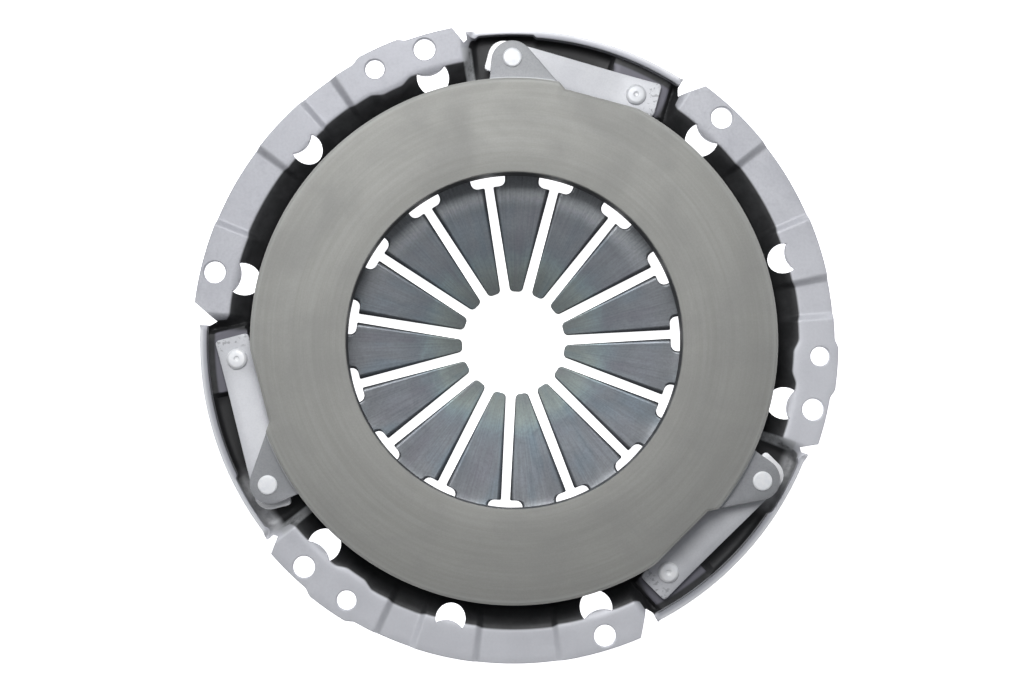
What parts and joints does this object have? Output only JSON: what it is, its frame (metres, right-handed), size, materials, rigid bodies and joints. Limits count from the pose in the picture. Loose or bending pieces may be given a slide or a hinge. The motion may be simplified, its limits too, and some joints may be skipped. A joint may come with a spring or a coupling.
{
  "type": "clutch pressure plate",
  "caption": "Diaphragm-spring clutch cover assembly: pressed cover bolted to the flywheel, cast pressure plate on strap packs, slotted cone spring on wire fulcrum rings.",
  "frame": {"origin": "centre of the bolt circle, on the cover's flange face that meets the flywheel", "axes": "+Z along the clutch axis towards the flywheel; angles from +X to +Y, first bolt hole at 107.1 degrees, straps at 75 degrees and every 120 degrees"},
  "size_m": [0.267, 0.2638, 0.0327],
  "materials": {
    "cover_steel": "pressed sheet steel, light grey phosphate, satin",
    "plate_iron": "grey cast iron with a machined friction face",
    "spring_steel": "dark blued spring steel with tempering tints",
    "ring_wire": "drawn steel wire",
    "rivet_steel": "bright zinc-plated steel",
    "strap_steel": "bright spring strip"
  },
  "bodies": {
    "cover": {"cover": "cover_steel", "diaphragm_spring": "spring_steel", "fulcrum_ring_front": "ring_wire", "fulcrum_ring_rear": "ring_wire", "fulcrum_rivets": "rivet_steel", "strap_1_leaf_1": "strap_steel", "strap_1_leaf_2": "strap_steel", "strap_1_leaf_3": "strap_steel", "strap_1_rivet_cover": "rivet_steel", "strap_2_leaf_1": "strap_steel", "strap_2_leaf_2": "strap_steel", "strap_2_leaf_3": "strap_steel", "strap_2_rivet_cover": "rivet_steel", "strap_3_leaf_1": "strap_steel", "strap_3_leaf_2": "strap_steel", "strap_3_leaf_3": "strap_steel", "strap_3_rivet_cover": "rivet_steel"},
    "pressure_plate": {"pressure_plate": "plate_iron", "strap_1_rivet_lug": "rivet_steel", "strap_2_rivet_lug": "rivet_steel", "strap_3_rivet_lug": "rivet_steel"}
  },
  "joints": [
    {"name": "plate_travel", "type": "slide", "parent": "cover", "child": "pressure_plate", "axis": [0, 0, 1], "range_m": [-0.0036, 0], "stiffness_N_per_m": 50000, "springref_m": 0.002, "deforming": ["diaphragm_spring", "strap_1_leaf_1", "strap_1_leaf_2", "strap_1_leaf_3", "strap_2_leaf_1", "strap_2_leaf_2", "strap_2_leaf_3", "strap_3_leaf_1", "strap_3_leaf_2", "strap_3_leaf_3"]}
  ]
}
